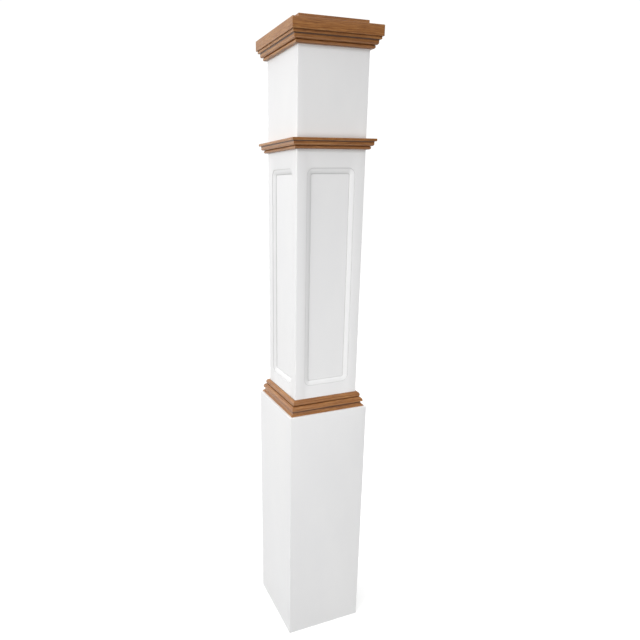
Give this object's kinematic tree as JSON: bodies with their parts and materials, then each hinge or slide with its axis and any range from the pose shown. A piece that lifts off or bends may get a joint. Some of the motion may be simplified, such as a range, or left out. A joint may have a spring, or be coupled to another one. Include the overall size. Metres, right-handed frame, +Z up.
{
  "type": "newel post",
  "caption": "Square hollow box newel post with a wrapped base, routed face panels, mitred mouldings and a low pyramid cap.",
  "frame": {"origin": "centre of the underside, on the floor", "axes": "+Z up the post, -Y out of the front face, +X out of the right face"},
  "size_m": [0.1904, 0.1904, 1.396],
  "materials": {
    "painted_wood": "white satin paint over wood",
    "stained_oak": "medium brown stain, satin lacquer"
  },
  "bodies": {
    "root": {"shaft_board_front": "painted_wood", "shaft_board_right": "painted_wood", "shaft_board_back": "painted_wood", "shaft_board_left": "painted_wood", "base_board_front": "painted_wood", "base_board_right": "painted_wood", "base_board_back": "painted_wood", "base_board_left": "painted_wood", "base_moulding_front": "stained_oak", "base_moulding_right": "stained_oak", "base_moulding_back": "stained_oak", "base_moulding_left": "stained_oak", "neck_moulding_front": "stained_oak", "neck_moulding_right": "stained_oak", "neck_moulding_back": "stained_oak", "neck_moulding_left": "stained_oak", "cap_moulding_front": "stained_oak", "cap_moulding_right": "stained_oak", "cap_moulding_back": "stained_oak", "cap_moulding_left": "stained_oak", "cap_board": "stained_oak", "cap_block": "stained_oak"}
  },
  "joints": []
}
